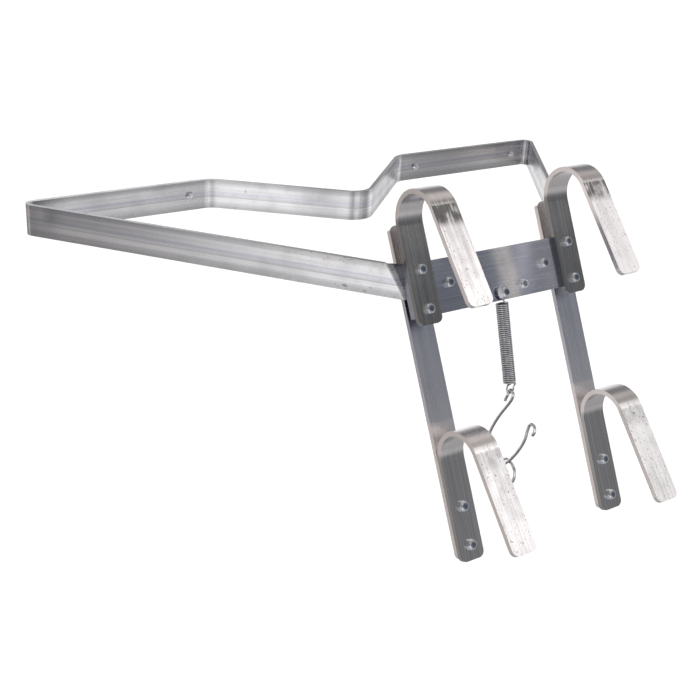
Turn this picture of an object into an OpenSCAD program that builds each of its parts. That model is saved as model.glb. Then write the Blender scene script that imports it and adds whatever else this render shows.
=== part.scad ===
// Ladder stabilizer: a flat-bar stand-off frame that hooks over two ladder rungs.
// Origin: middle of the upper rung's axis. +X runs along the rungs, +Y points at the wall, +Z is up.
// The frame lies level; the hooks, legs and cross plate lean with the ladder ("ladder frame" below).

/* [Ladder] */
// Distance between the two rungs it hangs on
rung_spacing = 304.8; // [250:0.1:350]
// Distance between the left and right hooks
hook_spacing = 254; // [200:1:300]
// Lean of the ladder away from the frame's upright, degrees
lean = 26.5; // [20:0.1:32]

/* [Flat bar of hooks and legs] */
// Width of the bar
bar_w = 38.1; // [30:0.1:45]
// Thickness of the bar
bar_t = 6.35; // [4:0.05:8]
// Radius of the bar's cut corners
bar_corner = 9; // [2:0.5:14]

/* [Hooks] */
// Inside radius of the hook's bend
hook_r = 34.925; // [25:0.025:45]
// Outward flare of the free leg, degrees
hook_flare = 14.5; // [0:0.5:25]
// Straight length of the free leg
free_len = 131; // [80:1:160]
// Length of the upper hook's shank below the rung axis
upper_shank = 128; // [120:1:150]
// Length of the lower hook's shank below the rung axis
lower_shank = 131; // [120:1:150]
// Distance of an upper hook's first bolt below the rung axis
upper_bolt_drop = 57.2; // [52:0.1:64]
// Distance of a lower hook's first bolt below the rung axis
lower_bolt_drop = 60.2; // [50:0.1:70]
// Distance between the two bolts of a hook
hook_bolt_pitch = 50.8; // [40:0.1:56]

/* [Legs] */
// Height of the leg's top above the upper rung axis
leg_above = 5; // [0:1:20]
// Length of the leg below the lower rung axis
leg_below = 128; // [120:1:150]

/* [Cross plate] */
// Thickness of the plate
plate_t = 9.525; // [6:0.025:12]
// Height of the plate
plate_h = 69.85; // [68:0.05:74]
// Drop of the plate's top edge below the upper rung axis
plate_drop = 47.6; // [45:0.1:49]

/* [Frame] */
// Height of the frame's bar
frame_h = 44.5; // [42:0.1:46]
// Thickness of the frame's bar
frame_t = 6.35; // [4:0.05:8]
// Stand-off from the arm tabs to the wall side of the frame
stand_off = 450; // [400:1:500]
// Overall width across the sharp outer corners
span = 964; // [960:1:1000]
// Width of the corner notch at the wall side
notch_w = 358; // [340:1:370]
// Depth of the corner notch down to its sharp apex
notch_depth = 165; // [120:1:190]
// Bend radius of the outer corners
corner_r = 11; // [8:0.5:12]
// Bend radius beside the notch
shoulder_r = 34; // [10:1:40]
// Bend radius of the notch's apex
apex_r = 34; // [12:1:80]
// Bend radius where an arm folds into its tab
fold_r = 8; // [7:0.5:12]
// Half the distance between the folds of the two arms
fold_x = 153; // [152:0.1:160]
// Drop of the folds below the upper rung axis
fold_drop = 66; // [64:0.5:68]
// Distance of the tabs' inner ends from the middle
tab_end = 30; // [26:1:32]

/* [Wall pads] */
// Distance of a pad's middle from the middle of the frame
pad_mid = 325; // [324:0.5:326]
// Distance between the two screws of a pad
pad_screw_pitch = 218; // [150:1:230]
// Length of a pad
pad_len = 266; // [250:1:267]
// Height of a pad
pad_h = 39; // [30:1:44]
// Thickness of a pad
pad_t = 9.5; // [6:0.5:14]

/* [Fasteners] */
// Radius of the structural bolts
bolt_r = 3.97; // [3:0.01:5]
// Width of their nuts across the flats
nut_af = 12.7; // [10:0.1:16]
// Height of their nuts
nut_h = 6.7; // [5:0.1:8]
// Radius of the pad screws
screw_r = 3.1; // [2:0.1:4]
// Width of the pad screws' nuts across the flats
screw_nut_af = 11.1; // [8:0.1:12]

/* [Lock] */
// Outside radius of the lock spring's coil
coil_r = 9.2; // [7:0.1:9.6]
// Radius of the spring's wire
spring_wire = 1.29; // [1.2:0.01:1.3]
// Turns in the coil
turns = 43; // [40:1:44]
// Lean of the spring behind the cross plate's plane, degrees
spring_lean = 9.5; // [8:0.5:10]
// Radius of the lock hook's wire
hook_wire = 2.2; // [1.7:0.1:2.3]

/* [Hidden] */
$fn = 64;
// names of all the sub-parts

mill = "#b9babd";
shade = "#8a8c96";
zinc = "#d5dae2";
black_rubber = "#2b2b2d";
slack = 0.3;            // clearance of a bolt in its hole
over = 1;               // how far a cutting shape reaches past the face it cuts
bolt_show = 0.6;        // how far a bolt's end stands out of its nut
bolt_chamfer = 0.8;
thread_gap = 0.04;      // between a nut's bore and its bolt
collar_chamfer = 0.6;   // of a lock nut's round collar
left = -1;
right = 1;

// layers of the bolted stack, as distances from the rung axis toward the wall
hook_front = hook_r;
plate_front = hook_front + bar_t;
plate_back = plate_front + plate_t;
leg_front = plate_back + frame_t;
leg_back = leg_front + bar_t;
lower_axis_y = leg_front - bar_t - hook_r;

// drops below the upper rung axis
plate_bottom = plate_drop + plate_h;
plate_len = hook_spacing + bar_w;
tab_bolt_outer = [83, 80];      // distance from the middle, drop
tab_bolt_inner = [39, 102];
spring_bolt_drop = 107.7;

// the arm's direction in the level frame, and the fold line it shares with its tab
arm_run = span / 2 - fold_x;
arm_angle = atan2(stand_off, arm_run);
arm_dir = [-cos(arm_angle), sin(arm_angle), 0];
leg_up = [0, sin(lean), cos(lean)];
leg_out = [0, cos(lean), -sin(lean)];
upright = [0, 0, 1];
fold_line = unit(upright + arm_dir * tan(lean) / sin(arm_angle));
fold_tilt = asin(-fold_line.x);
edge_angle = acos(arm_dir * fold_line);         // between the bar's edge and the fold line
tab_slope = 90 - edge_angle - fold_tilt;        // how far the tab dips toward the middle
tab_dir = [cos(tab_slope), 0, 0] - sin(tab_slope) * leg_up;
tab_width_dir = [sin(tab_slope), 0, 0] + cos(tab_slope) * leg_up;
fold_across = unit(tab_dir - (tab_dir * fold_line) * fold_line);
arm_across = unit(arm_dir - (arm_dir * fold_line) * fold_line);
fold_turn = acos(-fold_across * arm_across);

// the level frame: corners of its centre line, left half, from the fold to the notch's apex
fold_point = [-fold_x, 0, 0] + (plate_back + frame_t / 2) * leg_out - fold_drop * leg_up;
wall_y = fold_point.y + stand_off;
frame_z = fold_point.z;
corner = [-span / 2, wall_y, frame_z];
shoulder = [-notch_w / 2, wall_y, frame_z];
apex = [0, wall_y - notch_depth, frame_z];

// pads and their screws
pad_back = wall_y + frame_t / 2;
screw_head_r = 5.2;
screw_head_h = 3.2;
screw_head_sink = 2;            // how far the head sits below the pad's face
screw_head_gap = 0.6;           // round the head, in the pad's counterbore
screw_head_chamfer = 0.8;
screw_chamfer = 0.6;
screw_nut_h = 5.2;
pad_corner = 6;                 // corner radius of a pad

// lock spring, in the ladder frame: it hangs from its bolt in front of the cross plate
spring_gap = 0.4;                               // play on each side of the spring's top loop
loop_y = plate_front - spring_wire - spring_gap;
coil_top = spring_bolt_drop + 12.2;
coil_len = turns * 2 * spring_wire;
coil_mid_r = coil_r - spring_wire;
ring_r = spring_wire * 1.04;                    // neighbouring turns just run into each other
top_loop_r = bolt_r + spring_gap + spring_wire;
coil_top_y = 44;
neck_len = coil_top - spring_bolt_drop - top_loop_r + spring_wire;  // from the loop down into the coil
end_loop_r = 5.9;
end_gap = ring_r + 0.1;                         // keeps the end loop clear of the last turn
pivot_reach = coil_len + end_gap + 2 * end_loop_r;      // from the coil's top to the hook's pivot
pivot_y = coil_top_y + pivot_reach * sin(spring_lean);
pivot_drop = coil_top + pivot_reach * cos(spring_lean);
washer_t = 1.6;
washer_r = 9.5;
washer_gap = 0.1;                               // between the washer and its bolt
washer_back = loop_y - spring_wire - spring_gap;
washer_front = washer_back - washer_t;

// the lock hook's centre line as [x, toward the wall, down] from the pivot, in the ladder frame:
// a short tail, the eye on the spring's loop, the shank, a finger ring and a curled finger end
hook_route = [
  [0, 14.7, 9.7], [0, 10.2, 5.2], [0, 5.8, 1.6], [0, 4.2, -1.9], [0, 0, -4.1], [0, -4.2, -1.9],
  [0, -4.8, 2.4], [0, -1.8, 6.9], [0, 5.3, 12.6], [0, 30.8, 28.2], [0, 48.2, 40.9], [0, 61.7, 53.5],
  [0, 66.7, 67.5], [1, 62.7, 81.5], [2.4, 50.7, 90.5], [2.4, 39.7, 92], [2.4, 31.7, 98.5],
  [2.4, 28.7, 107.5], [2.4, 32.2, 118], [2.4, 41.7, 126], [1, 53.7, 126.5], [0, 61.7, 117.5],
  [-1, 57.7, 106.5], [-2.4, 44.7, 99], [-2.4, 25.7, 91], [-2.4, 4.7, 78.5], [-2.4, -12.3, 64.5],
  [-2.4, -22, 51.5], [-2.4, -29.5, 44.3], [-2.4, -36.5, 47], [-2.4, -35, 54.5], [-2.4, -29.5, 59]
];

function unit(v) = v / norm(v);

// ---------- sweeps ----------
// a section is [centre, half thickness vector, half width vector], with four corners
function corners(s) = [
  s[0] - s[1] - s[2], s[0] + s[1] - s[2], s[0] + s[1] + s[2], s[0] - s[1] + s[2]
];
function flip_x(v) = [-v.x, v.y, v.z];
function mirrored(s) = [for (v = s) flip_x(v)];

// sections round a level bend at corner p, between the directions d1 arriving and d2 leaving;
// steps divide the whole bend, and the sections stop at the one numbered last
function level_bend(p, d1, d2, r, steps, last) =
  let (turn = acos(d1 * d2), side = sign(cross(d1, d2).z), start = p - d1 * r * tan(turn / 2),
       hub = start + side * r * [-d1.y, d1.x, 0], a0 = atan2(start.y - hub.y, start.x - hub.x))
  [for (i = [0:last])
    let (a = a0 + side * turn * i / steps, out = [cos(a), sin(a), 0])
    [hub + r * out, -side * out * frame_t / 2, upright * frame_h / 2]];

// sections round the slanted fold, from the tab to the arm
function fold_bend(steps) =
  let (reach = fold_r * tan(fold_turn / 2), half = frame_h / 2 / sin(edge_angle),
       hub = fold_point + fold_across * reach + leg_out * fold_r, shift = reach / tan(edge_angle))
  [for (i = [0:steps])
    let (a = fold_turn * i / steps, out = -cos(a) * leg_out - sin(a) * fold_across,
         along = shift * (2 * i / steps - 1))
    [hub + fold_r * out + along * fold_line, out * frame_t / 2, fold_line * half]];

// a closed solid through rings of the same number of points
module skin(rings) {
  n = len(rings[0]);
  last = n * (len(rings) - 1);
  sides = [for (i = [0:len(rings) - 2]) for (j = [0:n - 1])
    let (a = n * i + j, b = n * i + (j + 1) % n) each [[a, a + n, b + n], [a, b + n, b]]];
  first_end = [for (j = [1:n - 2]) [0, j, j + 1]];
  last_end = [for (j = [1:n - 2]) [last, last + j + 1, last + j]];
  polyhedron([for (r = rings) each r], concat(first_end, sides, last_end), convexity = 10);
}

// a smooth curve through points, with n steps between neighbours
function curve_point(p, i, u) =
  let (a = p[max(i - 1, 0)], b = p[i], c = p[i + 1], d = p[min(i + 2, len(p) - 1)])
  b + u / 2 * (c - a + u * (2 * a - 5 * b + 4 * c - d + u * (3 * (b - c) + d - a)));
function curve(p, n) =
  concat([for (i = [0:len(p) - 2]) for (k = [0:n - 1]) curve_point(p, i, k / n)], [p[len(p) - 1]]);

// round wire of radius r along a path that stays near the plane x = 0
module wire(path, r, sides) {
  end = len(path) - 1;
  rings = [for (i = [0:end])
    let (along = unit(path[min(i + 1, end)] - path[max(i - 1, 0)]),
         e1 = unit(cross(along, [1, 0, 0])), e2 = cross(along, e1))
    [for (k = [0:sides - 1]) path[i] + r * (cos(360 * k / sides) * e1 + sin(360 * k / sides) * e2)]];
  skin(rings);
}

// ---------- shared shapes ----------
// turns a shape from the ladder frame, whose +Z runs up the ladder, into the level frame
module on_ladder() { rotate([-lean, 0, 0]) children(); }

// places a bolt's axis: its +Z points away from the wall, z = 0 on the rung axis plane
module bolt_axis(x, drop) { on_ladder() translate([x, 0, -drop]) rotate([90, 0, 0]) children(); }

// flat strip in the x-z plane, front face on y = 0, hanging from z = 0, lower corners cut round
module strip(length, width, thickness, cut) {
  rotate([90, 0, 0]) translate([0, 0, -thickness]) linear_extrude(thickness) {
    translate([-width / 2, cut - length]) square([width, length - cut]);
    translate([cut - width / 2, -length]) square([width - 2 * cut, length]);
    for (side = [left, right]) translate([side * (width / 2 - cut), cut - length]) circle(cut);
  }
}

// hole for a bolt, right through the whole stack
module bolt_hole(x, drop, r) {
  translate([x, hook_front - over, -drop]) rotate([-90, 0, 0])
    cylinder(r = r, h = leg_back - hook_front + 2 * over);
}

// lock nut: a hexagon with a chamfered base and a round collar on top
module lock_nut(across, height, bore) {
  edge = across / sqrt(3);
  hex_h = height * 0.74;
  hex_chamfer_h = hex_h * 0.2;
  collar_r = across * 0.46;
  difference() {
    union() {
      intersection() {
        cylinder(r = edge, h = hex_h, $fn = 6);
        union() {
          cylinder(r = edge, h = hex_h - hex_chamfer_h);
          translate([0, 0, hex_h - hex_chamfer_h]) cylinder(r1 = edge, r2 = across / 2, h = hex_chamfer_h);
        }
      }
      cylinder(r = collar_r, h = height - collar_chamfer);
      translate([0, 0, height - collar_chamfer])
        cylinder(r1 = collar_r, r2 = collar_r - collar_chamfer, h = collar_chamfer);
    }
    translate([0, 0, -over]) cylinder(r = bore, h = height + 2 * over);
  }
}

// bolt with a low button head below z = 0; its shank runs up to z = length
module bolt(length, r) {
  head_r = r * 1.95;
  crown_r = r * 1.3;
  rim_h = r * 0.4;
  crown_h = r * 0.6;
  translate([0, 0, -rim_h - crown_h]) cylinder(r1 = crown_r, r2 = head_r, h = crown_h);
  translate([0, 0, -rim_h]) cylinder(r = head_r, h = rim_h);
  cylinder(r = r, h = length - bolt_chamfer);
  translate([0, 0, length - bolt_chamfer]) cylinder(r1 = r, r2 = r - bolt_chamfer, h = bolt_chamfer);
}

// bolts through a stack between the distances back and front from the rung axis
module stack_bolt(x, drop, back, front) {
  bolt_axis(x, drop) translate([0, 0, -back]) bolt(back - front + nut_h + bolt_show, bolt_r);
}
module stack_nut(x, drop, front) {
  bolt_axis(x, drop) translate([0, 0, -front]) lock_nut(nut_af, nut_h, bolt_r + thread_gap);
}

// ---------- hooks ----------
// one hook with its bend about x = 0, z = 0 and its shank on the wall side
module hook(shank, first_bolt) {
  difference() {
    union() {
      translate([0, hook_r, 0]) strip(shank, bar_w, bar_t, bar_corner);
      rotate([90, 0, 90]) rotate_extrude(angle = 180 - hook_flare)
        translate([hook_r, -bar_w / 2]) square([bar_t, bar_w]);
      rotate([-hook_flare, 0, 0]) translate([0, -hook_r - bar_t, 0])
        strip(free_len, bar_w, bar_t, bar_corner);
    }
    for (i = [0, 1]) translate([0, hook_r - over, -first_bolt - i * hook_bolt_pitch])
      rotate([-90, 0, 0]) cylinder(r = bolt_r + slack, h = bar_t + 2 * over);
  }
}
module upper_hook(side) {
  color(mill) on_ladder() translate([side * hook_spacing / 2, 0, 0]) hook(upper_shank, upper_bolt_drop);
}
module lower_hook(side) {
  color(mill) on_ladder() translate([side * hook_spacing / 2, lower_axis_y, -rung_spacing])
    hook(lower_shank, lower_bolt_drop);
}
module upper_left_hook() { upper_hook(left); }
module upper_right_hook() { upper_hook(right); }
module lower_left_hook() { lower_hook(left); }
module lower_right_hook() { lower_hook(right); }

// ---------- hook bolts and nuts ----------
module upper_bolts(side) {
  color(zinc) for (i = [0, 1])
    stack_bolt(side * hook_spacing / 2, upper_bolt_drop + i * hook_bolt_pitch, leg_back, hook_front);
}
module lower_bolts(side) {
  color(zinc) for (i = [0, 1])
    stack_bolt(side * hook_spacing / 2, rung_spacing + lower_bolt_drop + i * hook_bolt_pitch,
               leg_back, leg_front - bar_t);
}
module upper_nuts(side) {
  color(zinc) for (i = [0, 1])
    stack_nut(side * hook_spacing / 2, upper_bolt_drop + i * hook_bolt_pitch, hook_front);
}
module lower_nuts(side) {
  color(zinc) for (i = [0, 1])
    stack_nut(side * hook_spacing / 2, rung_spacing + lower_bolt_drop + i * hook_bolt_pitch,
              leg_front - bar_t);
}
module upper_left_hook_bolts() { upper_bolts(left); }
module upper_right_hook_bolts() { upper_bolts(right); }
module lower_left_hook_bolts() { lower_bolts(left); }
module lower_right_hook_bolts() { lower_bolts(right); }
module upper_left_hook_nuts() { upper_nuts(left); }
module upper_right_hook_nuts() { upper_nuts(right); }
module lower_left_hook_nuts() { lower_nuts(left); }
module lower_right_hook_nuts() { lower_nuts(right); }

// ---------- legs ----------
module leg(side) {
  length = leg_above + rung_spacing + leg_below;
  color(shade) on_ladder() difference() {
    translate([side * hook_spacing / 2, leg_front, leg_above]) intersection() {
      strip(length, bar_w, bar_t, bar_corner);
      translate([0, 0, -length]) mirror([0, 0, 1]) strip(length, bar_w, bar_t, bar_corner);
    }
    for (drop = [upper_bolt_drop, rung_spacing + lower_bolt_drop]) for (i = [0, 1])
      bolt_hole(side * hook_spacing / 2, drop + i * hook_bolt_pitch, bolt_r + slack);
  }
}
module left_leg() { leg(left); }
module right_leg() { leg(right); }

// ---------- cross plate ----------
module cross_plate() {
  color(shade) on_ladder() difference() {
    translate([-plate_len / 2, plate_front, -plate_bottom]) cube([plate_len, plate_t, plate_h]);
    for (side = [left, right]) {
      for (i = [0, 1])
        bolt_hole(side * hook_spacing / 2, upper_bolt_drop + i * hook_bolt_pitch, bolt_r + slack);
      for (p = [tab_bolt_outer, tab_bolt_inner]) bolt_hole(side * p[0], p[1], bolt_r + slack);
    }
    bolt_hole(0, spring_bolt_drop, bolt_r + slack);
  }
}

// ---------- frame ----------
// sections of the left half, from the tab's inner end to the notch's apex
tab_start = fold_point + tab_dir * (fold_x - tab_end) / tab_dir.x;
notch_dir = unit(apex - shoulder);
half_frame = concat(
  [[tab_start, -leg_out * frame_t / 2, tab_width_dir * frame_h / 2]],
  fold_bend(8),
  level_bend(corner, arm_dir, [1, 0, 0], corner_r, 14, 14),
  level_bend(shoulder, [1, 0, 0], notch_dir, shoulder_r, 8, 8),
  level_bend(apex, notch_dir, [notch_dir.x, -notch_dir.y, 0], apex_r, 16, 8)
);
whole_frame = concat(half_frame, [for (i = [len(half_frame) - 2:-1:0]) mirrored(half_frame[i])]);

module frame_bar() {
  color(mill) difference() {
    skin([for (s = whole_frame) corners(s)]);
    on_ladder() for (side = [left, right]) {
      bolt_hole(side * hook_spacing / 2, upper_bolt_drop, bolt_r + slack);
      for (p = [tab_bolt_outer, tab_bolt_inner]) bolt_hole(side * p[0], p[1], bolt_r + slack);
    }
    for (side = [left, right]) pad_screw_places(side) translate([0, 0, -frame_t])
      cylinder(r = screw_r + slack, h = 3 * frame_t);
    // relief on the fold's inner side, where the leg's outer edge lies in the bend
    on_ladder() for (side = [left, right])
      translate([side * hook_spacing / 2 - bar_w / 2, leg_front, -fold_drop - frame_h])
        cube([bar_w, bar_t, 2 * frame_h]);
  }
}
module tab_bolts(side) {
  color(zinc) for (p = [tab_bolt_outer, tab_bolt_inner])
    stack_bolt(side * p[0], p[1], leg_front, plate_front);
}
module tab_nuts(side) {
  color(zinc) for (p = [tab_bolt_outer, tab_bolt_inner]) stack_nut(side * p[0], p[1], plate_front);
}
module left_tab_bolts() { tab_bolts(left); }
module right_tab_bolts() { tab_bolts(right); }
module left_tab_nuts() { tab_nuts(left); }
module right_tab_nuts() { tab_nuts(right); }

// ---------- wall pads ----------
// the two screw axes of a pad: +Z points away from the wall, z = 0 on the bar's wall side face
module pad_screw_places(side) {
  for (i = [-0.5, 0.5])
    translate([side * pad_mid + i * pad_screw_pitch, pad_back, frame_z]) rotate([90, 0, 0]) children();
}
module wall_pad(side) {
  color(black_rubber) difference() {
    translate([side * pad_mid, pad_back, frame_z]) rotate([-90, 0, 0]) linear_extrude(pad_t) {
      square([pad_len - 2 * pad_corner, pad_h], center = true);
      square([pad_len, pad_h - 2 * pad_corner], center = true);
      for (x = [-1, 1]) for (y = [-1, 1])
        translate([x * (pad_len / 2 - pad_corner), y * (pad_h / 2 - pad_corner)]) circle(pad_corner);
    }
    pad_screw_places(side) {
      translate([0, 0, -pad_t - over]) cylinder(r = screw_r + slack, h = pad_t + 2 * over);
      translate([0, 0, -pad_t - over])
        cylinder(r = screw_head_r + screw_head_gap, h = over + screw_head_sink + screw_head_h);
    }
  }
}
module pad_screws(side) {
  length = pad_t - screw_head_sink + frame_t + screw_nut_h + bolt_show;
  color(zinc) pad_screw_places(side) translate([0, 0, screw_head_sink - pad_t]) {
    cylinder(r1 = screw_head_r - screw_head_chamfer, r2 = screw_head_r, h = screw_head_chamfer);
    translate([0, 0, screw_head_chamfer]) cylinder(r = screw_head_r, h = screw_head_h - screw_head_chamfer);
    cylinder(r = screw_r, h = length - screw_chamfer);
    translate([0, 0, length - screw_chamfer])
      cylinder(r1 = screw_r, r2 = screw_r - screw_chamfer, h = screw_chamfer);
  }
}
module pad_nuts(side) {
  color(zinc) pad_screw_places(side) translate([0, 0, frame_t])
    lock_nut(screw_nut_af, screw_nut_h, screw_r + thread_gap);
}
module left_wall_pad() { wall_pad(left); }
module right_wall_pad() { wall_pad(right); }
module left_pad_screws() { pad_screws(left); }
module right_pad_screws() { pad_screws(right); }
module left_pad_nuts() { pad_nuts(left); }
module right_pad_nuts() { pad_nuts(right); }

// ---------- lock spring and hook ----------
module spring_bolt() {
  color(zinc) stack_bolt(0, spring_bolt_drop, plate_back, washer_front);
}
module spring_washer() {
  color(zinc) bolt_axis(0, spring_bolt_drop) translate([0, 0, -washer_back]) difference() {
    cylinder(r = washer_r, h = washer_t);
    translate([0, 0, -over]) cylinder(r = bolt_r + washer_gap, h = washer_t + 2 * over);
  }
}
module spring_nut() { color(zinc) stack_nut(0, spring_bolt_drop, washer_front); }

// the spring's own axis, +Z up, z = 0 at the top of the coil
module spring_axis() {
  on_ladder() translate([0, coil_top_y, -coil_top]) rotate([spring_lean, 0, 0]) children();
}
module lock_spring() {
  color(zinc) union() {
    on_ladder() translate([0, loop_y, -spring_bolt_drop]) rotate([90, 0, 0])
      rotate_extrude() translate([top_loop_r, 0]) circle(spring_wire);
    on_ladder() translate([0, loop_y, -spring_bolt_drop - top_loop_r - neck_len])
      cylinder(r = spring_wire, h = neck_len);
    spring_axis() rotate_extrude() {
      for (i = [0:turns - 1])
        translate([coil_mid_r, -(2 * i + 1) * spring_wire]) circle(ring_r);
      // the first turn closes in to meet the neck
      translate([0, -2 * spring_wire]) square([coil_mid_r, 1.8 * spring_wire]);
    }
  }
}
// the loop at the coil's lower end, which the hook's eye hangs on
module spring_end_loop() {
  color(zinc) spring_axis() translate([0, 0, -coil_len - end_gap - end_loop_r]) {
    rotate([90, 0, 0]) rotate_extrude() translate([end_loop_r, 0]) circle(spring_wire);
  }
}
module lock_hook() {
  color(zinc) on_ladder() translate([0, pivot_y, -pivot_drop])
    wire(curve([for (p = hook_route) [p.x, p.y, -p.z]], 6), hook_wire, 10);
}

frame_bar();
cross_plate();
left_leg();
right_leg();
upper_left_hook();
upper_right_hook();
lower_left_hook();
lower_right_hook();
upper_left_hook_bolts();
upper_right_hook_bolts();
lower_left_hook_bolts();
lower_right_hook_bolts();
upper_left_hook_nuts();
upper_right_hook_nuts();
lower_left_hook_nuts();
lower_right_hook_nuts();
left_tab_bolts();
right_tab_bolts();
left_tab_nuts();
right_tab_nuts();
left_wall_pad();
right_wall_pad();
left_pad_screws();
right_pad_screws();
left_pad_nuts();
right_pad_nuts();
spring_bolt();
spring_washer();
spring_nut();
lock_spring();
spring_end_loop();
lock_hook();
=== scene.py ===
# Ladder stabilizer: looks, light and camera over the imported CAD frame.
# Metres in the row frame, with +Y toward the wall and +Z up, except where a comment says otherwise.
import math

import bpy
from mathutils import Matrix, Vector


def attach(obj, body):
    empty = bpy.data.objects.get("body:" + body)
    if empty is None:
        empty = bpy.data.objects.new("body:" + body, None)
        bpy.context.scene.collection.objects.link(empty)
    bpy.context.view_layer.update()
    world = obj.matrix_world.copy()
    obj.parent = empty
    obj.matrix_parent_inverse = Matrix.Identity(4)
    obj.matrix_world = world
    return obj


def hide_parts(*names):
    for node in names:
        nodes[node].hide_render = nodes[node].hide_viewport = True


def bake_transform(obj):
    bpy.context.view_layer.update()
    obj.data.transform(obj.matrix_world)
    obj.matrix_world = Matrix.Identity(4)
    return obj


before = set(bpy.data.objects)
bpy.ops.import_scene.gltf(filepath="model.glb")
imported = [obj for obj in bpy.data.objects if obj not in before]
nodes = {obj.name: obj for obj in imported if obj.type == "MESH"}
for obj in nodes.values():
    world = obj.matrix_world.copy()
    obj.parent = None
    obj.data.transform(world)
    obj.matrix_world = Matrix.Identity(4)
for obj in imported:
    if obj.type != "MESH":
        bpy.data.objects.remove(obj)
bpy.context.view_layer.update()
scene = bpy.context.scene

MM = 0.001
LEAN = math.radians(26.5)  # lean of the ladder, and of every part bolted along it
TO_ROW = Matrix.Rotation(-LEAN, 4, "X")  # ladder frame to row frame
FRAME_H = 0.0445  # height of the level frame's bar
FRAME_MID_Z = -0.08315
FRAME_LOW_Z = FRAME_MID_Z - FRAME_H / 2
FRAME_TOP_Z = FRAME_MID_Z + FRAME_H / 2
RUNG_UP = (0.0, 0.0)  # axis of the upper rung in the ladder frame: toward the wall, up
RUNG_LOW = (0.015875, -0.3048)
FLARE = math.radians(14.5)  # a hook's free leg stands out from its shank by this angle
FREE_FACE = 0.0408  # just under the outer face of a free leg, measured from the rung's axis
SHANK_FACE = 0.030  # from there on toward the wall lies the shank
THREAD_Y = 0.049  # a bolt's end lies on the climber's side of this, in the ladder frame

SOOT = (0.16, 0.14, 0.13, 1)
SCUFF = (0.16, 0.155, 0.15, 1)
PIT = (0.20, 0.18, 0.17, 1)
SPECK = (0.10, 0.09, 0.085, 1)
RUBBED = (0.52, 0.51, 0.51, 1)
TRAIL = (0.40, 0.395, 0.395, 1)
SCRATCH = (0.95, 0.95, 0.95, 1)
# painted shade for stretches of the frame
FRAME_PAINTED_SHADE = (0.30, 0.30, 0.32, 1)


# ---------- node helpers ----------
class Graph:
    """Short names for the shader nodes used below."""

    def __init__(self, tree):
        self.tree = tree

    def add(self, kind, inputs=None, **props):
        n = self.tree.nodes.new(kind)
        for k, v in props.items():
            setattr(n, k, v)
        for k, v in (inputs or {}).items():
            self.put(n.inputs[k], v)
        return n

    def put(self, socket, v):
        if isinstance(v, bpy.types.NodeSocket):
            self.tree.links.new(v, socket)
        else:
            socket.default_value = v

    def math(self, op, a, b=0.0, c=0.0):
        return self.add("ShaderNodeMath", {0: a, 1: b, 2: c}, operation=op).outputs[0]

    def times(self, a, b):
        return self.math("MULTIPLY", a, b)

    def plus(self, a, b):
        return self.math("ADD", a, b)

    def at_most(self, a, b):
        return self.math("MINIMUM", a, b)

    def size_of(self, a):
        return self.math("ABSOLUTE", a)

    def between(self, v, low, high, to_low=0.0, to_high=1.0):
        """v from low..high onto to_low..to_high, smooth and clamped."""
        return self.add("ShaderNodeMapRange", {0: v, 1: low, 2: high, 3: to_low, 4: to_high},
                        interpolation_type="SMOOTHSTEP").outputs[0]

    def band(self, v, low, high, soft):
        """1 where v lies between low and high, falling off over soft."""
        up = self.between(v, low - soft, low + soft)
        return self.times(up, self.between(v, high - soft, high + soft, 1.0, 0.0))

    def mapped(self, v, scale=(1, 1, 1), turn=(0, 0, 0), shift=(0, 0, 0)):
        inputs = {"Vector": v, "Location": shift, "Rotation": turn, "Scale": scale}
        return self.add("ShaderNodeMapping", inputs).outputs[0]

    def noise(self, v, scale=1.0, detail=3.0, rough=0.55):
        inputs = {"Vector": v, "Scale": scale, "Detail": detail, "Roughness": rough}
        return self.add("ShaderNodeTexNoise", inputs).outputs["Fac"]

    def grain(self, v, scale, detail=3.0, rough=0.55, shift=(0, 0, 0)):
        """Noise stretched by a scale per axis: streaks run along the axis with the smallest scale."""
        return self.noise(self.mapped(v, scale, shift=shift), 1.0, detail, rough)

    def mix(self, fac, a, b, blend="MIX"):
        n = self.add("ShaderNodeMix", {0: fac, 6: a, 7: b}, data_type="RGBA", blend_type=blend)
        return n.outputs[2]

    def ramp(self, fac, stops):
        """Stops are (place, grey) or (place, (r, g, b))."""
        n = self.add("ShaderNodeValToRGB", {0: fac})
        e = n.color_ramp.elements
        while len(e) < len(stops):
            e.new(0.5)
        for k, (at, v) in enumerate(stops):
            e[k].position = at
            e[k].color = grey(v) if isinstance(v, (int, float)) else (*v, 1)
        return n.outputs[0]

    def xyz(self, v):
        return self.add("ShaderNodeSeparateXYZ", {0: v}).outputs

    def bumped(self, height, strength, reach):
        inputs = {"Strength": strength, "Distance": reach, "Height": height}
        self.put(self.bsdf.inputs["Normal"], self.add("ShaderNodeBump", inputs).outputs[0])


def grey(v):
    return (v, v, v, 1)


def material(name):
    m = bpy.data.materials.new(name)
    m.use_nodes = True
    g = Graph(m.node_tree)
    g.bsdf = m.node_tree.nodes["Principled BSDF"]
    g.where = g.add("ShaderNodeTexCoord").outputs["Object"]
    return m, g


def finish_metal(g, colour, rough, height, bump, reach=0.0004, metallic=1.0):
    g.put(g.bsdf.inputs["Base Color"], colour)
    g.put(g.bsdf.inputs["Roughness"], rough)
    g.bsdf.inputs["Metallic"].default_value = metallic
    g.bumped(height, bump, reach)


# ---------- bar stock ----------
def wear(g, p, scratch_along):
    """Thin scratches and small dark specks, as two masks."""
    scratch = g.band(g.grain(p, scratch_along, 4.0, 0.6), 0.497, 0.503, 0.004)
    worn = g.between(g.noise(p, 22.0, 2.0), 0.52, 0.66)
    specks = g.between(g.noise(p, 260.0, 2.0), 0.70, 0.76)
    sparse = g.between(g.noise(p, 30.0, 1.0), 0.50, 0.62)
    return g.times(scratch, worn), g.times(specks, sparse)


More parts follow.
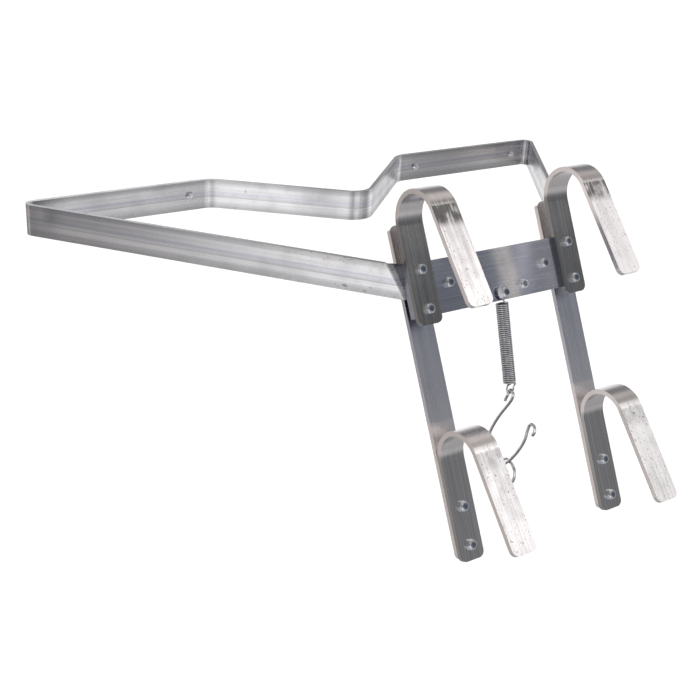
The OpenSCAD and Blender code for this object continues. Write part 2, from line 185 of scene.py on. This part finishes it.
def bar_metal(name, dark, light, across, rough, bump, marks, turn=0.0, shift=(0, 0, 0)):
    """Mill-finish bar stock. across is the grain's scale per axis of the turned frame: its zeros run along
    the bar. marks adds the part's own marks, and its painted light and shade, to the colour and roughness."""
    m, g = material(name)
    p = g.mapped(g.where, turn=(turn, 0, 0), shift=shift)

    def drawn(share, along, detail):
        return g.grain(p, tuple(a * share if a else along for a in across), detail)

    fine = drawn(1.0, 8.0, 4.0)
    streak = drawn(0.28, 4.0, 3.0)
    broad = drawn(0.07, 2.5, 2.0)
    blotch = g.noise(p, 24.0, 3.0)
    tone = g.plus(g.times(fine, 0.40), g.plus(g.times(streak, 0.30), g.times(broad, 0.30)))
    colour = g.mix(g.between(tone, 0.34, 0.66), (*dark, 1), (*light, 1))
    colour = g.mix(g.between(blotch, 0.45, 0.70, 0.0, 0.18), colour, (*[d * 0.75 for d in dark], 1))
    scratch, specks = wear(g, p, tuple(a * 0.5 if a else 16.0 for a in across))
    colour = g.mix(g.times(scratch, 0.30), colour, SCRATCH)
    colour = g.mix(g.times(specks, 0.70), colour, SPECK)
    rough_map = g.plus(g.between(streak, 0.35, 0.65, rough - 0.03, rough + 0.03), g.times(specks, 0.3))
    rough_map = g.plus(rough_map, g.between(blotch, 0.40, 0.70, 0.0, 0.06))
    height = g.plus(g.times(fine, 0.5), g.times(streak, 0.5))
    colour, rough_map = marks(g, p, colour, rough_map, streak)
    finish_metal(g, colour, rough_map, height, bump)
    return m


# painted shade of the frame's drawn ribs, as a tint from the bar's lower edge at 0 to its upper edge at 1
RIB_PAINTED_SHADE = [(0.0, 0.62), (0.10, 0.80), (0.17, 1.0), (0.33, 1.0), (0.37, 0.66), (0.41, 0.84),
        (0.50, (0.86, 0.87, 0.91)), (0.62, (0.80, 0.82, 0.88)), (0.68, 0.97), (0.90, 1.0), (0.95, 0.80),
        (1.0, 0.66)]


# Each marks function gets the graph, the place in the turned frame, and the bar's colour, roughness and
# streak noise. It returns the new colour and roughness.
def frame_pits_and_painted_shade(g, p, colour, rough_map, streak):
    """Painted shade of drawn ribs that keep their height all the way round, more painted shade on some
    stretches, and pits near the plate.
    """
    t = g.between(g.xyz(p)[2], FRAME_LOW_Z, FRAME_TOP_Z)
    t = g.plus(t, g.times(g.plus(streak, -0.5), 0.05))
    # painted shade of the ribs, multiplied into the colour
    colour = g.mix(1.0, colour, g.ramp(t, RIB_PAINTED_SHADE), "MULTIPLY")
    x, y, _ = g.xyz(p)
    out = g.size_of(x)
    # painted shade on the far arms, the arms' ends at the wall, the notch's left side and the right wall
    # bar
    arm_far = g.times(g.between(out, 0.24, 0.45), g.between(y, 0.44, 0.42))
    arm_end = g.times(g.between(out, 0.435, 0.472, 0.0, 0.70), g.between(y, 0.468, 0.460))
    notch_left = g.times(g.band(x, -0.070, -0.030, 0.030), g.between(y, 0.40, 0.36))
    right_bar = g.times(g.band(x, 0.200, 0.330, 0.040), g.between(y, 0.455, 0.462))
    dull = g.plus(g.times(arm_far, g.between(t, 0.30, 0.75, 0.20, 0.60)), arm_end)
    dull = g.plus(dull, g.plus(g.times(notch_left, 0.45), g.times(right_bar, 0.35)))
    colour = g.mix(g.at_most(dull, 0.9), colour, FRAME_PAINTED_SHADE)
    pits = g.between(g.grain(p, (130, 130, 420)), 0.62, 0.70)
    near = g.times(g.between(out, 0.30, 0.17), g.between(y, 0.20, 0.12))
    edges = g.plus(g.between(t, 0.16, 0.02), g.between(t, 0.84, 0.98))
    pits = g.times(g.times(pits, near), g.plus(0.25, edges))
    return g.mix(g.at_most(pits, 0.85), colour, SOOT), rough_map


def plate_painted_light(g, p, colour, rough_map, streak):
    """A painted reflection as a lighter, warmer band down the middle of the plate, painted highlight lines,
    and painted shade on the left half.
    """
    x = g.plus(g.xyz(p)[0], g.times(g.plus(g.grain(p, (6, 6, 30)), -0.5), 0.015))
    # painted reflection: a lighter, warmer band down the middle, and a faint one to the right
    light = g.plus(g.band(x, 0.002, 0.030, 0.010), g.times(g.band(x, 0.07, 0.11, 0.02), 0.25))
    # painted highlight lines: thin bright lines along the plate
    painted_highlight_lines = g.band(g.grain(p, (3, 3, 420), 2.0), 0.600, 0.625, 0.008)
    colour = g.mix(g.times(painted_highlight_lines, 0.55), colour, (0.97, 0.96, 0.96, 1))
    # painted shade over the left half
    colour = g.mix(g.between(x, 0.0, -0.03, 0.0, 0.45), colour, (0.28, 0.30, 0.36, 1))
    return g.mix(g.at_most(light, 1.0), colour, (0.98, 0.95, 0.94, 1)), rough_map


def leg_painted_light(g, p, colour, rough_map, streak):
    """Painted light and shade: warm painted light at the top, painted shade in blue-grey below the plate,
    and a bright painted reflection behind the lower hooks.
    """
    z = g.xyz(p)[2]
    # painted shade below the plate, and warm painted light at the top
    upper = g.mix(0.28, colour, (0.40, 0.40, 0.44, 1))
    upper = g.mix(g.between(z, -0.070, -0.055), upper, (0.95, 0.89, 0.87, 1))
    # painted light, growing toward the bottom
    lower = g.mix(0.5, colour, (0.92, 0.90, 0.90, 1))
    colour = g.mix(g.between(z, -0.09, -0.30), upper, lower)
    # painted reflection of the lower hooks' bends, just above them
    return g.mix(g.between(z, -0.250, -0.256, 0.0, 0.8), colour, (0.97, 0.93, 0.92, 1)), rough_map


def hook_wear_and_shank_shade(rung, seed, scuffed, trailing, shank_tone):
    """Scuffs on a hook's free leg just below its bend, where rungs have rubbed it, streaks trailing down
    from them, fine pits, and painted shade on the shank. rung is the axis of the bend in the ladder frame."""
    axis = Matrix.Rotation(FLARE, 3, "X") @ Vector((0, *rung))
    rung_y, rung_z = rung

    def marks(g, p, colour, rough_map, streak):
        # y goes through the free leg, and z runs up it from its root
        q = g.mapped(g.where, turn=(LEAN + FLARE, 0, 0), shift=tuple(-axis))
        _, y, z = g.xyz(q)
        face = g.between(y, 0.0008 - FREE_FACE, -FREE_FACE)
        rub = g.between(g.grain(q, (150, 9, 9), shift=(0, seed, seed)), 0.50, 0.64)
        colour = g.mix(g.times(g.times(face, rub), 0.30), colour, RUBBED)
        pits = g.between(g.grain(q, (330, 330, 330), 2.0, shift=(seed, 0, seed)), 0.635, 0.70)
        colour = g.mix(g.times(g.times(face, pits), 0.70), colour, PIT)
        streaks = g.between(g.grain(q, (260, 7, 7), shift=(seed, seed, 0)), 0.36, 0.56)
        trail = g.times(g.times(face, streaks), g.between(z, -0.100, -0.015, 0.0, trailing))
        colour = g.mix(trail, colour, TRAIL)
        root = g.times(g.between(z, 0.004, 0.000), g.between(z, -0.030, -0.012))
        lines = g.between(g.grain(q, (420, 30, 30), 4.0, 0.6, (seed, 0, 0)), 0.34, 0.60)
        cloud = g.between(g.grain(q, (60, 60, 60), shift=(seed, seed, 0)), 0.34, 0.56)
        worn = g.plus(0.12, g.plus(g.times(lines, 0.45), g.times(cloud, 0.45)))
        scuff = g.times(g.times(face, root), worn)
        colour = g.mix(g.times(g.at_most(scuff, 1.0), scuffed), colour, SCUFF)
        _, across, up = g.xyz(p)
        # painted shade on the shank
        shank = g.times(g.between(across, rung_y + SHANK_FACE, rung_y + SHANK_FACE + 0.002),
                        g.between(up, rung_z + 0.015, rung_z + 0.005))
        dull = g.mix(g.between(streak, 0.34, 0.66), grey(shank_tone * 0.40), grey(shank_tone * 0.54))
        return g.mix(shank, colour, dull), g.plus(rough_map, g.times(scuff, 0.10))

    return marks


def hook_metal(name):
    """Each hook has its own grain. The upper ones have worn on rungs, the left one the most."""
    upper = name.startswith("upper")
    scuffed = {"upper_left_hook": 1.6, "upper_right_hook": 1.0}.get(name, 0.12)
    trailing = 0.6 if name == "upper_left_hook" else 0.0
    # brightness of the shanks' painted shade: lighter on the lower hooks
    shank_tone = 0.80 if upper else 1.10
    seed = 3.7 * sorted(nodes).index(name)
    marks = hook_wear_and_shank_shade(RUNG_UP if upper else RUNG_LOW, seed, scuffed, trailing, shank_tone)
    return bar_metal(name + "_mill_aluminium", dark=(0.86, 0.83, 0.825), light=(0.98, 0.94, 0.935),
                     across=(1700, 0, 0), rough=0.21, bump=0.06, marks=marks, turn=LEAN, shift=(seed, 0, 0))


# ---------- zinc and rubber ----------
def zinc(name, thread=False, wire=False):
    """Bright zinc plate. A bolt's end is dark. A wire has painted shade on its underside, and black painted
    shade between its turns.
    """
    m, g = material(name)
    p = g.mapped(g.where, turn=(LEAN, 0, 0))
    cloud = g.noise(p, 160.0, 4.0)
    fine = g.noise(p, 1400.0, 3.0)
    colour = g.mix(g.between(cloud, 0.36, 0.66), (0.74, 0.76, 0.80, 1), (0.95, 0.96, 0.98, 1))
    dull = g.between(g.noise(p, 420.0, 3.0), 0.58, 0.70)
    colour = g.mix(g.times(dull, 0.4), colour, (0.36, 0.36, 0.37, 1))
    smoothest = 0.10 if wire else 0.13
    if wire:
        groove = g.add("ShaderNodeAttribute", attribute_name="groove").outputs["Fac"]
        # painted shade: the wire is darker where it faces down
        up = g.xyz(g.add("ShaderNodeNewGeometry").outputs["Normal"])[2]
        colour = g.mix(g.between(up, -0.60, 0.10), (0.15, 0.16, 0.165, 1), colour)
        # painted shade: near black where neighbouring turns touch
        colour = g.mix(g.between(groove, 0.55, 0.90), colour, (0.03, 0.032, 0.03, 1))
    rough = g.plus(g.between(fine, 0.35, 0.65, smoothest, smoothest + 0.07), g.times(dull, 0.14))
    height = g.times(fine, 0.3)
    if thread:
        y = g.xyz(p)[1]
        ridges = g.math("PINGPONG", g.times(y, 1600.0), 1.0)
        height = g.plus(height, g.times(ridges, g.between(y, THREAD_Y, THREAD_Y + MM, 2.0, 0.0)))
        colour = g.mix(g.between(y, THREAD_Y, THREAD_Y + MM, 0.85, 0.0), colour, (0.13, 0.17, 0.25, 1))
    finish_metal(g, colour, rough, height, 0.4 if thread else 0.15, 0.0003, 1.0 if thread or wire else 0.90)
    return m


def rubber():
    """Matt black rubber, finely ribbed and a little dusty."""
    m, g = material("pad_rubber_matt")
    grain = g.noise(g.where, 900.0, 4.0)
    dust = g.between(g.noise(g.where, 40.0, 5.0), 0.45, 0.70)
    ribs = g.math("PINGPONG", g.times(g.xyz(g.where)[2], 260.0), 1.0)
    colour = g.mix(g.times(dust, 0.5), (0.018, 0.018, 0.020, 1), (0.075, 0.072, 0.068, 1))
    g.put(g.bsdf.inputs["Base Color"], colour)
    g.put(g.bsdf.inputs["Roughness"], g.between(grain, 0.3, 0.7, 0.62, 0.85))
    g.bsdf.inputs["Specular IOR Level"].default_value = 0.35
    g.bumped(g.plus(g.times(grain, 0.4), g.times(ribs, 0.6)), 0.35, 0.0004)
    return m


# ---------- materials onto the CAD nodes ----------
frame_metal = bar_metal("frame_mill_aluminium", dark=(0.70, 0.695, 0.715), light=(0.97, 0.95, 0.95),
                        across=(0, 0, 2200), rough=0.26, bump=0.06, marks=frame_pits_and_painted_shade)
plate_metal = bar_metal("plate_mill_aluminium", dark=(0.53, 0.555, 0.65), light=(0.59, 0.615, 0.70),
                        across=(0, 0, 2000), rough=0.22, bump=0.015, marks=plate_painted_light, turn=LEAN)
leg_metal = bar_metal("leg_mill_aluminium", dark=(0.56, 0.585, 0.69), light=(0.71, 0.735, 0.82),
                      across=(2000, 2000, 0), rough=0.28, bump=0.03, marks=leg_painted_light, turn=LEAN)
zinc_plain = zinc("zinc_nut")
zinc_thread = zinc("zinc_bolt", thread=True)
zinc_wire = zinc("zinc_wire", wire=True)
pad_rubber = rubber()

WIRES = ("lock_spring", "spring_end_loop", "lock_hook")


def paint(obj, mat):
    obj.data.materials.clear()
    obj.data.materials.append(mat)


for name, obj in nodes.items():
    if name == "frame_bar":
        paint(obj, frame_metal)
    elif name == "cross_plate":
        paint(obj, plate_metal)
    elif name.endswith("_leg"):
        paint(obj, leg_metal)
    elif name.endswith("_wall_pad"):
        paint(obj, pad_rubber)
    elif name.endswith(("_bolts", "_screws")) or name == "spring_bolt":
        paint(obj, zinc_thread)
    elif name in WIRES:
        paint(obj, zinc_wire)
    elif name.endswith("_hook"):
        paint(obj, hook_metal(name))
    else:
        paint(obj, zinc_plain)


# ---------- edges: broken corners on bar stock and hardware ----------
def modify(obj, kind, name, **settings):
    mod = obj.modifiers.new(name, kind)
    for k, v in settings.items():
        setattr(mod, k, v)


def smooth(obj):
    obj.data.polygons.foreach_set("use_smooth", [True] * len(obj.data.polygons))


def edge_width(name):
    """Width of the broken edge in mm: bars, plates and pads have more than bolts and nuts."""
    widths = {"frame_bar": 0.7, "cross_plate": 0.6, "left_wall_pad": 1.2, "right_wall_pad": 1.2}
    return widths.get(name, 0.8 if name.endswith(("_hook", "_leg")) else 0.25)


for name, obj in nodes.items():
    if name not in WIRES:
        modify(obj, "WELD", "joined", merge_threshold=1e-6)
        modify(obj, "DECIMATE", "flat_faces", decimate_type="DISSOLVE", angle_limit=math.radians(0.6))
        modify(obj, "BEVEL", "edges", width=edge_width(name) * MM, segments=2, limit_method="ANGLE",
               angle_limit=math.radians(32), use_clamp_overlap=True)
        modify(obj, "WEIGHTED_NORMAL", "flats", mode="FACE_AREA", weight=100, keep_sharp=False)
        smooth(obj)


# ---------- round wire ----------
TIP = 0.35  # how far a wire's end bulges, as a share of its radius


def catmull(points, steps):
    """A smooth curve through the points, with steps pieces between each two."""
    out = []
    last = len(points) - 1
    for k in range(last):
        a, b, c, d = points[max(k - 1, 0)], points[k], points[k + 1], points[min(k + 2, last)]
        for s in range(steps):
            u = s / steps
            out.append(b + u / 2 * (c - a + u * (2 * a - 5 * b + 4 * c - d + u * (3 * (b - c) + d - a))))
    return out + [points[last]]


def arc(centre, radius, angles):
    """Points on a circle in the XZ plane, at angles in degrees."""
    turns = [math.radians(a) for a in angles]
    return [centre + radius * Vector((math.cos(a), 0, math.sin(a))) for a in turns]


def tube(name, path, radius, sides, turns_at=range(0), turns_axis=None):
    """Round wire along a path of row-frame points, turned along the path without twist, with domed ends.
    Along the stretch turns_at, the attribute groove is 1 where neighbouring turns touch."""
    verts, faces, groove = [], [], []
    first = (path[1] - path[0]).normalized()
    side = first.orthogonal().normalized()
    for k, p in enumerate(path):
        along = (path[min(k + 1, len(path) - 1)] - path[max(k - 1, 0)]).normalized()
        side = (side - side.dot(along) * along).normalized()
        up = along.cross(side)
        for j in range(sides):
            a = math.tau * j / sides
            out = math.cos(a) * side + math.sin(a) * up
            verts.append(p + radius * out)
            groove.append(abs(out.dot(turns_axis)) if k in turns_at else 0.0)
    for k in range(len(path) - 1):
        for j in range(sides):
            a, b = sides * k + j, sides * k + (j + 1) % sides
            faces.append((a, b, b + sides, a + sides))
    for ring, tip, flip in ((0, path[0] - first * radius * TIP, True),
                            (sides * (len(path) - 1), path[-1] + along * radius * TIP, False)):
        verts.append(tip)
        groove.append(0.0)
        for j in range(sides):
            f = (ring + j, ring + (j + 1) % sides, len(verts) - 1)
            faces.append(f[::-1] if flip else f)
    mesh = bpy.data.meshes.new(name)
    mesh.from_pydata([tuple(v) for v in verts], [], faces)
    mesh.attributes.new("groove", "FLOAT", "POINT").data.foreach_set("value", groove)
    obj = bpy.data.objects.new(name, mesh)
    scene.collection.objects.link(obj)
    smooth(obj)
    return obj


def in_row(points):
    """Points in mm of the ladder frame, as row-frame metres."""
    return [TO_ROW @ p * MM for p in points]


# ---------- lock spring: one continuous wire with its two end loops, mm in the ladder frame ----------
SPRING_WIRE_R = 1.27
COIL_R = 7.91
TURNS = 42  # from the middle of the first ring to the middle of the last
PITCH = 2.58
STEPS = 26  # path points in a turn
LOOP_STEPS = 4  # path points between two points of a loop
SPRING_SIDES = 12
LEAD_IN = 0.18  # share of the first turn that the top loop's lead takes
COIL_LEN = (TURNS + 1) * PITCH
SPRING_TURN = Matrix.Rotation(math.radians(9.5), 4, "X")  # the coil leans by this in the ladder frame
COIL_TOP = Vector((0, 44, -119.9))
BOLT_LOOP = Vector((0, 39.585, -107.7))
BOLT_LOOP_R = 5.66
END_LOOP_R = 5.9
END_LOOP_GAP = 1.442  # from the coil's end to the end loop's circle


def on_coil(x, y, z):
    """A point given from the middle of the coil's top, with z along the coil."""
    return SPRING_TURN @ Vector((x, y, z)) + COIL_TOP


def coil_point(k):
    a = math.tau * k / STEPS - math.pi / 2
    return on_coil(COIL_R * math.cos(a), COIL_R * math.sin(a), -PITCH / 2 - PITCH * k / STEPS)


coil = [coil_point(k) for k in range(int(STEPS * LEAD_IN), STEPS * TURNS + 1)]
# round the bolt, down to the coil and into its first turn
top = arc(BOLT_LOOP, BOLT_LOOP_R, range(-50, 226, 15))
top += [Vector((-2.3, 39.6, -112.9)), Vector((-0.6, 39.5, -115.2)), Vector((-0.9, 39.1, -117.4))]
top += [on_coil(1.2, -6.4, -0.6), on_coil(4.6, -6.2, -0.9)]
lead = catmull(top, LOOP_STEPS) + catmull([top[-1]] + coil[:1], LOOP_STEPS - 1)[1:-1]
# out of the last turn and round the end loop
foot = [on_coil(4.4, -6.2, 0.6 - COIL_LEN), on_coil(6.6, -3.4, -1.6 - COIL_LEN)]
foot += [on_coil(6.2, -0.8, -4.6 - COIL_LEN)]
end_loop = arc(Vector((0, 0, -COIL_LEN - END_LOOP_GAP - END_LOOP_R)), END_LOOP_R, range(0, -300, -15))
foot += [on_coil(*p) for p in end_loop]
wire_path = lead + coil + catmull([coil[-1]] + foot, LOOP_STEPS)[1:]
coil_axis = (TO_ROW @ SPRING_TURN).to_3x3() @ Vector((0, 0, 1))
coil_part = range(len(lead), len(lead) + len(coil))
spring = tube("spring_wire", in_row(wire_path), SPRING_WIRE_R * MM, SPRING_SIDES, coil_part, coil_axis)
paint(spring, zinc_wire)
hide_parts("lock_spring", "spring_end_loop")
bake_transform(spring)


# ---------- lock hook: tail, eye on the spring's loop, shank, finger ring and curled end, mm ----------
HOOK_WIRE_R = 2.18
HOOK_SIDES = 18
HOOK_STEPS = 10  # path points between two points of the route
PIVOT = Vector((0, 64.496, -242.379))  # ladder frame: where the eye hangs on the spring's end loop
HOOK_ROUTE = [  # x, toward the wall, down, from the pivot
    (0, 14.7, 9.7), (0, 10.2, 5.2), (0, 5.8, 1.6), (0, 4.2, -1.9), (0, 0, -4.1), (0, -4.2, -1.9),
    (0, -4.8, 2.4), (0, -1.8, 6.9), (0, 5.3, 12.6), (0, 30.8, 28.2), (0, 48.2, 40.9), (0, 61.7, 53.5),
    (0, 66.7, 67.5), (1, 62.7, 81.5), (2.4, 50.7, 90.5), (2.4, 39.7, 92), (2.4, 31.7, 98.5),
    (2.4, 28.7, 107.5), (2.4, 32.2, 118), (2.4, 41.7, 126), (1, 53.7, 126.5), (0, 61.7, 117.5),
    (-1, 57.7, 106.5), (-2.4, 44.7, 99), (-2.4, 25.7, 91), (-2.4, 4.7, 78.5), (-2.4, -12.3, 64.5),
    (-2.4, -22, 51.5), (-2.4, -29.5, 44.3), (-2.4, -36.5, 47), (-2.4, -35, 54.5), (-2.4, -29.5, 59)]
hook_path = catmull([PIVOT + Vector((x, y, -down)) for x, y, down in HOOK_ROUTE], HOOK_STEPS)
hook = tube("lock_hook_wire", in_row(hook_path), HOOK_WIRE_R * MM, HOOK_SIDES)
paint(hook, zinc_wire)
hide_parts("lock_hook")
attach(hook, "lock_hook")


# ---------- camera ----------
CAMERA_AT = (-1.00681, -1.07844, 0.42746)
HEADING = math.radians(35.6268)  # from +Y toward +X
TILT = math.radians(-23.6626)  # up from level
ROLL = math.radians(3.1530)  # right side up
cam = bpy.data.objects.new("camera", bpy.data.cameras.new("camera"))
scene.collection.objects.link(cam)
scene.camera = cam
cam.data.lens = 59.914
cam.data.sensor_width = 36.0
cam.data.clip_start = 0.05
cam.data.clip_end = 200.0
level_right = Vector((math.cos(HEADING), -math.sin(HEADING), 0))
ahead = Vector((math.sin(HEADING) * math.cos(TILT), math.cos(HEADING) * math.cos(TILT), math.sin(TILT)))
right = math.cos(ROLL) * level_right + math.sin(ROLL) * level_right.cross(ahead)
aim = Matrix((right, right.cross(ahead), -ahead)).transposed().to_4x4()
cam.matrix_world = Matrix.Translation(CAMERA_AT) @ aim


# ---------- floor and light ----------
FLOOR_Z = -1.2
FLOOR_R = 40.0
RIM = 96  # points round the floor's edge
rim_angles = [math.tau * k / RIM for k in range(RIM)]
rim = [(FLOOR_R * math.cos(a), FLOOR_R * math.sin(a), 0) for a in rim_angles]
floor_mesh = bpy.data.meshes.new("floor")
floor_mesh.from_pydata([(0, 0, 0)] + rim, [], [(0, k + 1, (k + 1) % RIM + 1) for k in range(RIM)])
floor = bpy.data.objects.new("floor", floor_mesh)
scene.collection.objects.link(floor)
floor.location = (0, 0, FLOOR_Z)
floor.visible_glossy = False
pale, fg = material("pale_floor")
fg.put(fg.bsdf.inputs["Base Color"], fg.mix(fg.noise(fg.where, 1.3, 3.0), grey(0.90), grey(0.93)))
fg.bsdf.inputs["Roughness"].default_value = 0.9
fg.bsdf.inputs["Specular IOR Level"].default_value = 0.1
paint(floor, pale)

sun = bpy.data.objects.new("soft_sun", bpy.data.lights.new("soft_sun", "SUN"))
scene.collection.objects.link(sun)
sun.data.energy = 2.6
sun.data.angle = math.radians(70)
sun.rotation_euler = (math.radians(8), math.radians(-10), 0)
sun.visible_glossy = False

# the studio from straight below, at 0, to straight above, at 1
SKY = [(0.0, (0.42, 0.42, 0.43)), (0.34, (0.30, 0.30, 0.31)), (0.50, (0.26, 0.26, 0.27)),
       (0.60, (0.32, 0.32, 0.335)), (0.67, (0.20, 0.205, 0.215)), (0.78, (0.17, 0.17, 0.175)),
       (0.90, (0.44, 0.41, 0.395)), (1.0, (0.52, 0.475, 0.455))]
# soft lights: direction, half-angles in degrees where each is full and where it ends, strength
LIGHTS = [
    ((0.64, -0.45, 0.62), 11, 16, 0.70),  # high on the climber's side: the upper hooks' free legs mirror it
    ((0.60, -0.56, 0.57), 6, 11, 0.65),  # a little lower, for the lower hooks' free legs
    ((-0.80, -0.52, -0.31), 13, 27, 0.85),  # left and low, for the notch's left side
    ((0.22, -0.93, -0.30), 12, 25, 0.52),  # low on the climber's side, for the left wall bar
    ((0.83, 0.49, -0.27), 15, 40, 0.28),  # right and low, for the notch's right side
    ((0.41, 0.86, -0.27), 15, 45, 0.42),  # low behind the wall, for the right arm
    ((0.76, -0.62, -0.20), 6, 16, 0.12),  # low at the right, for the right wall bar
    ((0.10, 0.98, 0.12), 14, 32, 0.90),  # level, behind the wall
    ((0.04, -0.955, -0.29), 4, 14, 0.50),  # low on the climber's side
    ((0.97, -0.10, -0.25), 10, 22, 0.60),  # low at the far right
    ((-0.36, -0.88, -0.30), 8, 20, 0.42),  # low at the left, for the bend into the notch
    ((-0.86, 0.45, -0.24), 8, 20, 0.45),  # left, toward the wall: the right arm passes it to the wall bar
    ((0.61, 0.22, 0.76), 6, 14, 0.18),  # overhead, for the fronts of the upper bends
]
WARM_SIDE = ((-0.62, 0.71, -0.25), 20, 60, 1.0)  # a warm side, which edges facing left mirror
WARM = (0.50, 0.455, 0.43, 1)


def studio_world():
    """A soft studio all round: pale to the eye, with lit and unlit sides for the metal to mirror."""
    world = bpy.data.worlds.new("studio")
    scene.world = world
    world.use_nodes = True
    g = Graph(world.node_tree)
    d = g.add("ShaderNodeTexCoord").outputs["Generated"]

    def lobe(direction, inner, outer, strength):
        v = Vector(direction).normalized()
        dot = g.add("ShaderNodeVectorMath", {0: d, 1: tuple(v)}, operation="DOT_PRODUCT").outputs["Value"]
        return g.between(dot, math.cos(math.radians(outer)), math.cos(math.radians(inner)), 0.0, strength)

    sky = g.ramp(g.math("MULTIPLY_ADD", g.xyz(d)[2], 0.5, 0.5), SKY)
    glow = lobe(*LIGHTS[0])
    for light in LIGHTS[1:]:
        glow = g.plus(glow, lobe(*light))
    tinted = g.mix(g.times(lobe(*WARM_SIDE), 0.8), sky, WARM)
    lit = g.add("ShaderNodeVectorMath", {0: tinted, 1: glow}, operation="ADD").outputs[0]
    seen = g.add("ShaderNodeLightPath").outputs["Is Camera Ray"]
    shine = g.add("ShaderNodeBackground", {"Color": lit, "Strength": 1.0})
    plain = g.add("ShaderNodeBackground", {"Color": grey(0.95), "Strength": 1.0})
    both = g.add("ShaderNodeMixShader", {0: seen, 1: shine.outputs[0], 2: plain.outputs[0]})
    g.put(world.node_tree.nodes["World Output"].inputs["Surface"], both.outputs[0])


studio_world()
scene.view_settings.view_transform = "Standard"
